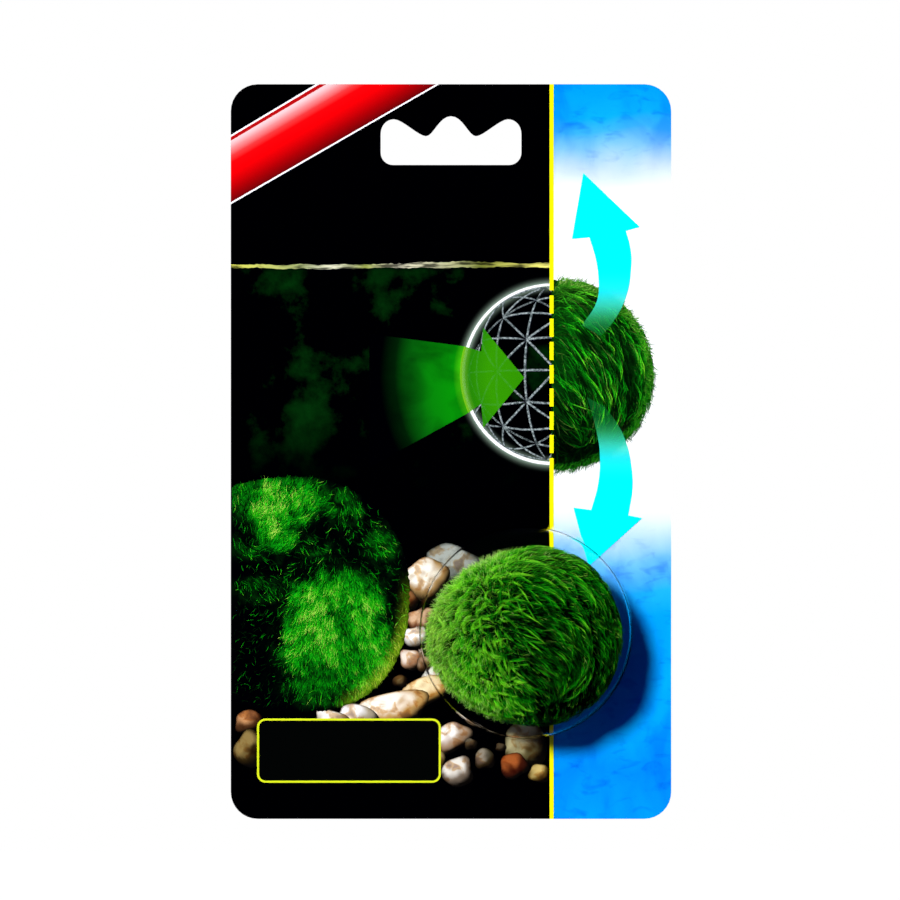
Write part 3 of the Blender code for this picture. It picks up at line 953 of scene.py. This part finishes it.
def fanned_film(spots, spokes, level):
    """A closed film over places on the card: the middle first, then rings of them, anticlockwise."""
    rings = (len(spots) - 1) // spokes
    x, z = on_card(spots[:, 0], spots[:, 1])
    top = np.stack((x, np.full_like(x, card_low.y - INK_STEP * level - INK_FILM), z), 1)
    bottom = top[-spokes:] + np.array((0, INK_FILM, 0))
    triangles = []
    for j in range(spokes):
        k = (j + 1) % spokes
        triangles.append((0, 1 + j, 1 + k))
        for ring_number in range(rings):
            a, b = 1 + ring_number * spokes + j, 1 + ring_number * spokes + k
            triangles += [(a, a + spokes, b + spokes), (a, b + spokes, b)]
    triangles += [(len(top), len(top) + j + 1, len(top) + j) for j in range(1, spokes - 1)]
    return np.concatenate((top, bottom)), np.array(triangles)


rng = np.random.default_rng(31)
tries = np.stack((rng.uniform(0.6, 46.5, STROKES * 4), rng.uniform(102, 163.3, STROKES * 4)), 1)
light, spring, out = clump_light(tries)
mottled = hills(rng, 4.0)(np.stack((tries[:, 0], tries[:, 1], np.zeros(len(tries))), 1))
light = np.clip(light * (1 + 0.3 * mottled), 0, 1.3)
kept = (out < 0.985) & (rng.random(len(tries)) < 0.14 + 0.8 * light + 0.6 * rim_glow(tries, out))
tries, light, spring, out = [values[kept][:STROKES] for values in (tries, light, spring, out)]
wild = 0.36 + 0.3 * (light < 0.2)
turn = np.arctan2(spring[:, 1], spring[:, 0]) + rng.normal(0, 1, len(tries)) * wild
share = np.linspace(-0.5, 0.5, 4)
long = rng.uniform(1.4, 4.0, len(tries)) * (0.6 + 0.5 * light)
bow = rng.normal(0, 0.22, len(tries))
heading = turn[:, None] + bow[:, None] * share * 2
across = np.clip(tries[:, :1] + np.cos(heading) * long[:, None] * share, 0.35, 60)
down = tries[:, 1:] + np.sin(heading) * long[:, None] * share
front = np.broadcast_to(rng.random(len(tries))[:, None], across.shape)
tone = 0.76 * np.minimum(light, 1) + 0.6 * np.maximum(light - 0.9, 0)
tone += rng.normal(0, 0.22, len(tries))
tone += 0.45 * (rng.random(len(tries)) < 0.12) * (light < 0.4)
shares = tone[:, None] * np.linspace(0.5, 1.15, 4)
pigments = blend_colours(shares, ("#000400", "#032C04", "#068C08", "#12C80A", "#50DC14", "#C4F45C"))
glow = rim_glow(tries, out)[:, None, None]
lime = blend_colours(rng.random(len(tries)), ("#4C8C08", "#98C418", "#D8EC50"))[:, None]
pigments = pigments * (1 - glow) + lime * glow
widths = rng.uniform(0.06, 0.12, len(tries))[:, None] * MM * np.linspace(1.0, 0.4, 4)
press_flat("print_moss_clump", np.stack((across, down, front), -1), widths, pigments, 4, picture_moss)

# The ground under the clump's strokes: its light as green, with a coarser mottle.
clump_ink, tree, shader, spot = ink_material("offset_moss_clump_ground")
mottle_pigment(tree, shader, 1.6 * MM, 5.0, 0.35, 0.62, 0.25, 1.2)
CLUMP_RINGS = 44
edge = [(0.25, down) for down in np.linspace(158, 105, 40)]
edge += bristly(CLUMP_MIDDLE, (CLUMP_LEFT, CLUMP_RADII[1]), -22, 0, 24, rng, 0.006)
edge += bristly(CLUMP_MIDDLE, (CLUMP_RADII[0], CLUMP_RADII[1]), 1, 90, 90, rng, 0.007)
edge += bristly(CLUMP_MIDDLE, (CLUMP_RADII[0], CLUMP_RADII[2]), 91, 179, 90, rng, 0.007, CLUMP_SQUARENESS)
edge += bristly(CLUMP_MIDDLE, (CLUMP_LEFT, CLUMP_RADII[2]), 180, 202, 24, rng, 0.006)
edge = np.array([(max(across, 0.25), down) for across, down in edge[::-1]])
middle = np.array(CLUMP_MIDDLE)
spots = middle + (edge - middle) * np.linspace(0, 1, CLUMP_RINGS + 1)[1:, None, None]
spots = np.concatenate((middle[None], spots.reshape(-1, 2)))
light, spring, out = clump_light(spots)
shares = 0.95 * np.clip(light, 0, 1)
lit_green = blend_colours(shares, ("#000000", "#021802", "#046004", "#0AA00A", "#28C010"))
glow = rim_glow(spots, out)[:, None]
lit_green = lit_green * (1 - glow) + np.array(hex_colour("#7CAC14")) * glow
vertices, triangles = fanned_film(spots, len(edge), 3)
shades = np.concatenate((lit_green, lit_green[-len(edge):]))
clump_ground = joined_mesh("print_moss_clump_ground", vertices, triangles, shades, clump_ink)
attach(clump_ground, "root")

# Pebbles: rounded river stones round the moss. Each is a flat film, shaded as the dome it pictures.
PEBBLES = (
    # middle across, down, half width, half height, tilt in degrees, lit colour, shaded colour
    (59.5, 125.5, 8.5, 4.8, -30, "#A4A8A0", "#40443C"), (76.6, 171.6, 5.5, 6.2, 0, "#C4B98A", "#5E5432"),
    (46.3, 134.0, 3.0, 2.6, 0, "#8A5C34", "#2A1608"), (52.6, 146.2, 2.6, 2.2, 0, "#8C7454", "#2E2212"),
    (49.8, 139.2, 4.0, 3.0, 10, "#D8B08C", "#6E4630"), (51.0, 128.6, 5.4, 5.6, -48, "#FFFAEC", "#A88450"),
    (48.0, 143.8, 3.1, 2.8, 0, "#FFFFFF", "#B4ACA0"), (46.8, 149.6, 2.9, 2.7, -20, "#F0E0D0", "#A07858"),
    (50.6, 150.8, 2.4, 2.0, 15, "#A08468", "#3C2A18"), (55.0, 152.9, 5.6, 3.6, 38, "#F4F0E8", "#A89C88"),
    (50.6, 157.8, 6.4, 3.7, 24, "#FCEABC", "#B88A44"), (42.2, 162.4, 9.2, 4.6, 14, "#FFF8E8", "#BC9456"),
    (33.0, 164.6, 5.6, 3.2, -8, "#FFFFFF", "#A89C84"), (26.5, 165.6, 4.8, 2.8, -14, "#F2EEE4", "#9C8E74"),
    (4.6, 165.6, 3.6, 2.8, 18, "#C08A58", "#4A2C14"), (4.8, 172.8, 3.7, 4.9, -10, "#8A7440", "#2C2008"),
    (57.2, 170.0, 5.4, 3.7, 24, "#FAF4EC", "#A08468"), (53.4, 176.0, 2.4, 3.6, 8, "#C8BC9A", "#6E5E3A"),
    (59.0, 178.8, 4.0, 3.9, 30, "#E4DED0", "#6E6050"), (66.0, 175.4, 2.6, 2.7, 0, "#8C8270", "#36301E"),
    (73.6, 177.2, 3.6, 3.3, 12, "#A05424", "#3C1406"), (80.2, 179.2, 2.7, 2.4, -10, "#C8B068", "#5C4818"),
    (44.0, 155.2, 2.0, 1.6, 0, "#6A5834", "#1E160A"), (62.4, 171.6, 1.7, 1.5, 0, "#5C5240", "#1E1A12"),
    (70.2, 172.4, 1.4, 1.1, 0, "#4A3E2C", "#181208"),
)
# Each stone's own colours, with ochre stains in veins.
stone_ink, tree, shader, spot = ink_material("offset_stone_colours")
pigment = add_node(tree, "Attribute", attribute_name="pigment")
veins = add_node(
    tree, "TexNoise", {"Vector": spot, "Scale": 1 / (3.2 * MM), "Detail": 4.0, "Distortion": 0.5}
)
stain = add_node(
    tree, "ValToRGB", {"Fac": veins}, ramp=[(0.34, "#8A5218"), (0.42, "#D8A850"), (0.50, "#FFFFFF")]
)
colour = add_node(
    tree, "Mix", {"Factor": 0.7, 6: pigment, 7: stain}, data_type="RGBA", blend_type="MULTIPLY"
)
feed(shader, "Base Color", colour.outputs[2])
RINGS, SPOKES = 9, 32
rng = np.random.default_rng(5)
sun = unit(np.array((-0.45, 0.6, 0.75)))
all_vertices, all_triangles, all_shades = [], [], []
for number, (across, down, wide, high, tilt, lit_code, dark_code) in enumerate(PEBBLES):
    turns = np.linspace(0, 2 * math.pi, SPOKES, endpoint=False)
    squared = rounded_square(turns + rng.uniform(-0.3, 0.3), 3.0)
    lumps = 0.97 + 0.07 * np.sin(3 * turns + rng.uniform(0, 6))
    lumps = squared * (lumps + 0.035 * np.sin(5 * turns + rng.uniform(0, 6)))
    out = np.linspace(0, 1, RINGS + 1)[1:]
    u = np.concatenate(([0.0], (out[:, None] * np.cos(turns)).ravel()))
    v = np.concatenate(([0.0], (out[:, None] * np.sin(turns)).ravel()))
    swell = np.concatenate(([1.0], np.tile(lumps, RINGS)))
    lean = math.radians(tilt)
    right = (u * wide * math.cos(lean) - v * high * math.sin(lean)) * swell
    raised = (u * wide * math.sin(lean) + v * high * math.cos(lean)) * swell
    dome = np.sqrt(np.clip(1 - 0.97 * (u * u + v * v), 0, 1))
    normals = unit(np.stack((right / wide, raised / high, dome), 1))
    hollows = hills(rng, 2.6)(np.stack((right, raised, np.zeros_like(right)), 1))
    lightness = np.clip((normals @ sun) * (1.1 + 0.22 * hollows), 0, 1) ** 0.9
    rim = smoothstep(1.0, 0.86, np.sqrt(u * u + v * v))
    shades = blend_colours(lightness * (0.35 + 0.65 * rim), ("#080603", dark_code, lit_code))
    spots = np.stack((across + right, down - raised), 1)
    vertices, triangles = fanned_film(spots, SPOKES, 2.0 + 1.2 * number / len(PEBBLES))
    all_triangles.append(triangles + sum(len(v) for v in all_vertices))
    all_vertices.append(vertices)
    all_shades += [shades, shades[-SPOKES:]]
vertices, triangles, shades = [np.concatenate(v) for v in (all_vertices, all_triangles, all_shades)]
pebbles = joined_mesh("print_pebbles", vertices, triangles, shades, stone_ink)
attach(pebbles, "root")

# Blank plate: a rounded panel with a thin yellow border, low on the left. It is left blank.
PLATE = (6.8, 164.9, 54.6, 181.6)
PLATE_BORDER = 0.55


def rounded_panel(left, top, right, bottom, radius):
    """The outline of a panel with round corners, in mm."""
    outline = []
    for middle_across, middle_down, first in (
        (right - radius, top + radius, -90), (right - radius, bottom - radius, 0),
        (left + radius, bottom - radius, 90), (left + radius, top + radius, 180),
    ):
        for i in range(7):
            turn = math.radians(first + 15 * i)
            outline.append((middle_across + radius * math.cos(turn), middle_down + radius * math.sin(turn)))
    return corners(*outline)


plate_yellow = flat_ink("offset_yellow_green_border", "#D4E21C")
plate_black = flat_ink("offset_plate_black", "#020301")
left, top, right, bottom = PLATE
border = rounded_panel(left, top, right, bottom, 2.2)
lay_film(printed_outline("print_plate_border", border), 9, plate_yellow)
inner = PLATE_BORDER
plate = rounded_panel(left + inner, top + inner, right - inner, bottom - inner, 1.7)
lay_film(printed_outline("print_plate", plate), 10, plate_black)

# Flow arrows: two curved cyan arrows that rise from and fall to the picture of the ball.
cyan_ink, tree, shader, spot = ink_material("offset_cyan_fading_at_the_tail")
middle_z = on_card(LINE_ACROSS, 75.6)[1]
height = add_node(tree, "SeparateXYZ", {0: spot}).outputs["Z"]
from_ball = add_node(tree, "Math", {0: height, 1: middle_z}, operation="SUBTRACT")
far = add_node(tree, "Math", {0: from_ball}, operation="ABSOLUTE")
fade = add_node(
    tree, "MapRange", {"Value": far, 1: 10 * MM, 2: 28 * MM, 3: 0.05, 4: 1.0},
    interpolation_type="SMOOTHSTEP",
)
feed(shader, "Alpha", fade)
cyan_run = add_node(
    tree, "ValToRGB", {"Fac": fade},
    ramp=[(0.0, "#1CCC48"), (0.2, "#3CDC84"), (0.45, "#40F0D0"), (0.75, "#18F4FA"), (1.0, "#00F4FF")],
)
feed(shader, "Base Color", cyan_run)
# For each arrow: the head's four corners, the outer side, the tail's two corners, then the inner side.
FLOW_ARROWS = {
    "rising": (
        [(88.7, 40.2), (91.65, 23.1), (106.3, 37.1), (102.7, 38.1)],
        [(104.0, 43.4), (104.0, 48.4), (102.8, 55.1), (99.3, 61.9)],
        [(96.2, 65.5), (91.3, 62.7)],
        [(95.2, 56.3), (95.6, 50.7), (94.8, 45.1)],
        [(93.2, 39.8)],
    ),
    "falling": (
        [(89.1, 110.1), (93.1, 125.3), (106.9, 112.8), (103.3, 112.1)],
        [(104.4, 105.0), (104.1, 99.1), (102.6, 92.6), (100.4, 88.1)],
        [(97.1, 83.7), (92.6, 81.4)],
        [(95.0, 89.9), (95.9, 95.4), (95.5, 103.9)],
        [(93.7, 110.7)],
    ),
}
for name, runs in FLOW_ARROWS.items():
    outline = []
    for number, run in enumerate(runs):
        outline += [(across, down, "smooth" if number % 2 else "corner") for across, down in run]
    lay_film(printed_outline(f"print_arrow_{name}", outline), 11, cyan_ink)

# ---------------------------------------------------------------------------------------------
# Blister. Clear PET sheet 0.5 mm thick, heated and drawn into a round mould, which thins the wall
# to about 0.4 mm. Its flat flange is heat-sealed to the card, round a ball that it holds in place.
# ---------------------------------------------------------------------------------------------
SHEET_WALL = 0.4 * MM
SHOULDER_RADIUS = 27.4 * MM
FOOT_RADIUS = 28.3 * MM
SHOULDER_HEIGHT = 23.5 * MM
FOOT_FILLET = 1.0 * MM
WELD_WITHIN = 0.01 * MM
SPIN_STEPS = 112
DOME_STEPS = 18
FILLET_STEPS = 5
SHEET_IOR = 1.02

blister_low, blister_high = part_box("blister")
blister_centre = (blister_low + blister_high) / 2
dome_top = blister_high.y - blister_low.y
seal_gap = card_low.y - blister_high.y
flange_radius = (blister_high.x - blister_low.x) / 2
crown = dome_top + seal_gap - SHOULDER_HEIGHT
foot_height = seal_gap + SHEET_WALL
profile = []
for i in range(DOME_STEPS + 1):
    turn = math.pi / 2 * i / DOME_STEPS
    profile.append((SHOULDER_RADIUS * math.sin(turn), SHOULDER_HEIGHT + crown * math.cos(turn)))
for i in range(FILLET_STEPS + 1):
    turn = math.pi / 2 * i / FILLET_STEPS
    out, drop = 1 - math.cos(turn), 1 - math.sin(turn)
    profile.append((FOOT_RADIUS + FOOT_FILLET * out, foot_height + FOOT_FILLET * drop))
profile.append((flange_radius, foot_height))

outline = bpy.data.meshes.new("blister_shell")
places = [(blister_centre.x + out, card_low.y - high, blister_centre.z) for out, high in profile]
outline.from_pydata(places, [(i, i + 1) for i in range(len(profile) - 1)], [])
shell = add_piece("blister_shell", outline)
edit_all(shell)
bpy.ops.mesh.spin(steps=SPIN_STEPS, angle=2 * math.pi, center=tuple(blister_centre), axis=(0, 1, 0))
bpy.ops.mesh.select_all(action="SELECT")
bpy.ops.mesh.remove_doubles(threshold=WELD_WITHIN)
bpy.ops.mesh.normals_make_consistent(inside=False)
bpy.ops.object.mode_set(mode="OBJECT")
if min(shell.data.polygons, key=lambda face: face.center.y).normal.y > 0:
    shell.data.flip_normals()
wall = shell.modifiers.new("wall", "SOLIDIFY")
wall.thickness = SHEET_WALL
wall.offset = -1.0
wall.use_even_offset = True
bpy.ops.object.modifier_apply(modifier="wall")
bpy.ops.object.shade_smooth_by_angle(angle=math.radians(50))

# Clear sheet: glass-smooth and almost colourless. Its IOR is far under PET's 1.57, so that a wall this
# thin barely shows.
clear_pet, tree, shader = start_material(
    "clear_PET_sheet_thermoformed", "#FBFDFC", Roughness=0.03, IOR=SHEET_IOR, Transmission_Weight=1.0
)
shell.data.materials.append(clear_pet)
shell.visible_shadow = False
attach(shell, "root")
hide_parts("blister")

# ---------------------------------------------------------------------------------------------
# Studio. A pale floor under the hanging pack, a round key lamp high on the left that throws the
# ball's shadow down to the right, softboxes at the sides, and a camera square to the card.
# ---------------------------------------------------------------------------------------------
VIEW_HEIGHT = 234 * MM
AIM = (-0.26 * MM, 0.4 * MM)
LENS = 400.0
AMBIENT = 0.10
MIRRORED = 0.02
FLOOR_WIDE = 12.0
FLOOR_BELOW = 0.25

bpy.ops.mesh.primitive_plane_add(size=FLOOR_WIDE, location=(0, 0, card_low.z - FLOOR_BELOW))
floor = bpy.context.object
floor.name = "studio_floor"
# White paper, which shines by itself, so that it is as white as the cove.
floor_paper, tree, shader = start_material(
    "seamless_white_paper", "#FFFFFF", Roughness=0.9, Specular_IOR_Level=0.1
)
shader.inputs["Emission Color"].default_value = hex_colour("#FFFFFF")
shader.inputs["Emission Strength"].default_value = 1.0
floor.data.materials.append(floor_paper)
floor.visible_glossy = False
floor.visible_diffuse = False
floor.visible_transmission = False

# The cove is white to the camera, and straight through the clear sheet. To all other light it is a weak
# deep blue, weaker still in reflections.
world = bpy.data.worlds.new("white_cove")
bpy.context.scene.world = world
world.use_nodes = True
tree = world.node_tree
tree.nodes.clear()
path = add_node(tree, "LightPath")
bounced = add_node(
    tree, "Math", {0: path.outputs["Ray Depth"], 1: path.outputs["Transmission Depth"]},
    operation="SUBTRACT",
)
straight = add_node(tree, "Math", {0: bounced, 1: 1.5}, operation="LESS_THAN")
through = add_node(
    tree, "Math", {0: path.outputs["Is Transmission Ray"], 1: straight}, operation="MULTIPLY"
)
seen = add_node(tree, "Math", {0: path.outputs["Is Camera Ray"], 1: through}, operation="MAXIMUM")
mirrored = add_node(tree, "MapRange", {"Value": path.outputs["Glossy Depth"], 3: AMBIENT, 4: MIRRORED})
bright = add_node(tree, "MapRange", {"Value": seen, 3: mirrored, 4: 1.0})
tint = add_node(
    tree, "Mix", {"Factor": seen, 6: hex_colour("#3044FF"), 7: hex_colour("#FFFFFF")}, data_type="RGBA"
)
cove = add_node(tree, "Background", {"Color": tint.outputs[2], "Strength": bright})
add_node(tree, "OutputWorld", {"Surface": cove})

# Each lamp: its way from the ball, its distance and width in metres, and its power in watts.
LAMPS = {
    "key_upper_left": ((-0.33, -1.0, 0.29), 2.4, 0.36, 77.0),
    "softbox_left": ((-1.0, -0.25, 0.5), 0.9, 0.5, 1.8),
    "softbox_right": ((1.0, -0.05, 0.25), 0.9, 0.5, 1.6),
    "softbox_back": ((0.4, 1.0, 0.6), 1.3, 1.0, 16.0),
}
for name, (away, distance, wide, power) in LAMPS.items():
    lamp = bpy.data.lights.new(name, "AREA")
    lamp.shape = "DISK"
    lamp.size = wide
    lamp.energy = power
    lit = add_piece(name, lamp)
    way = Vector(away).normalized()
    lit.location = Vector(moss_centre) + way * distance
    lit.rotation_euler = way.to_track_quat("Z", "Y").to_euler()
    lit.visible_camera = False
    lit.visible_glossy = False
    lit.visible_transmission = False

camera_data = bpy.data.cameras.new("camera")
camera_data.lens = LENS
camera_data.clip_end = 50.0
camera = add_piece("camera", camera_data)
bpy.context.scene.camera = camera
card_centre = (card_low + card_high) / 2
away = VIEW_HEIGHT / 2 / (camera_data.sensor_width / 2 / LENS)
camera.location = (card_centre.x + AIM[0], card_low.y - away, card_centre.z + AIM[1])
camera.rotation_euler = (math.pi / 2, 0, 0)
bpy.context.scene.view_settings.view_transform = "Standard"
